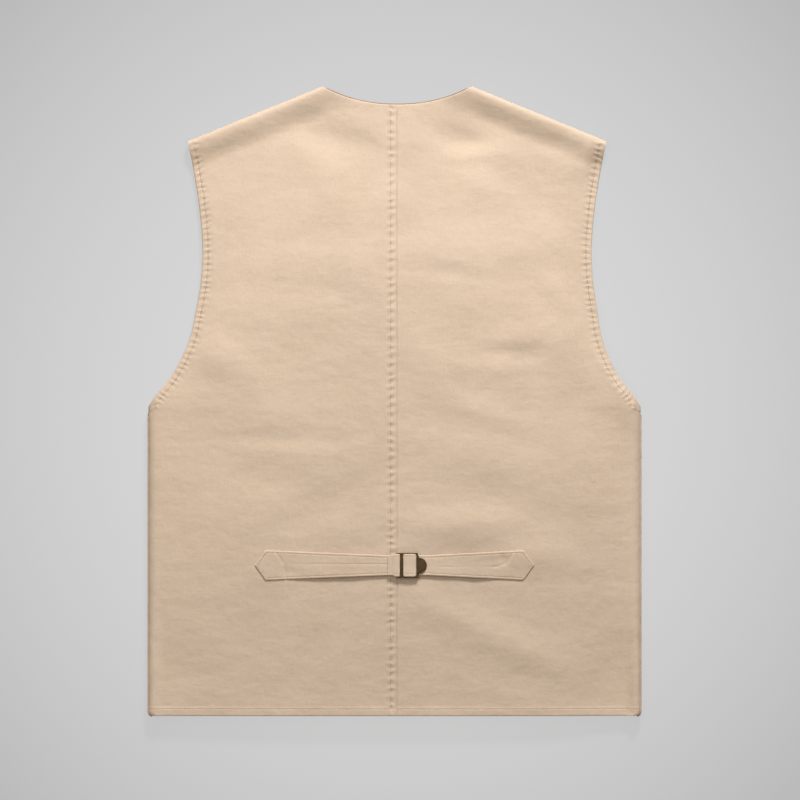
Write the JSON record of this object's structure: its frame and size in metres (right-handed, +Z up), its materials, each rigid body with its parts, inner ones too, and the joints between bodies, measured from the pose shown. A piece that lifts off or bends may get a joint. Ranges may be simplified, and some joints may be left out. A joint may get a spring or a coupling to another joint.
{
  "type": "utility work vest",
  "caption": "Sleeveless cotton-twill work vest lying face down, its back up, with a lapped centre seam, banded armholes and a buckled cinch strap.",
  "frame": {"origin": "on the surface that the vest rests on, under the middle of its outline", "axes": "+Y from the hem to the neck, +Z up out of the back, +X to the wearer's right"},
  "size_m": [0.55, 0.703, 0.0331],
  "materials": {
    "twill": "tan cotton twill, matt",
    "twill_edge": "tan cotton twill, folded and topstitched",
    "dark_bronze": "dark antique bronze, satin"
  },
  "bodies": {
    "root": {"back_panel_left": "twill", "back_panel_right": "twill", "front_panel_left": "twill", "front_panel_right": "twill", "front_placket": "twill_edge", "armhole_band_left": "twill_edge", "armhole_band_right": "twill_edge", "neck_band": "twill_edge", "strap_left": "twill_edge", "strap_right": "twill_edge", "buckle": "dark_bronze"}
  },
  "joints": []
}
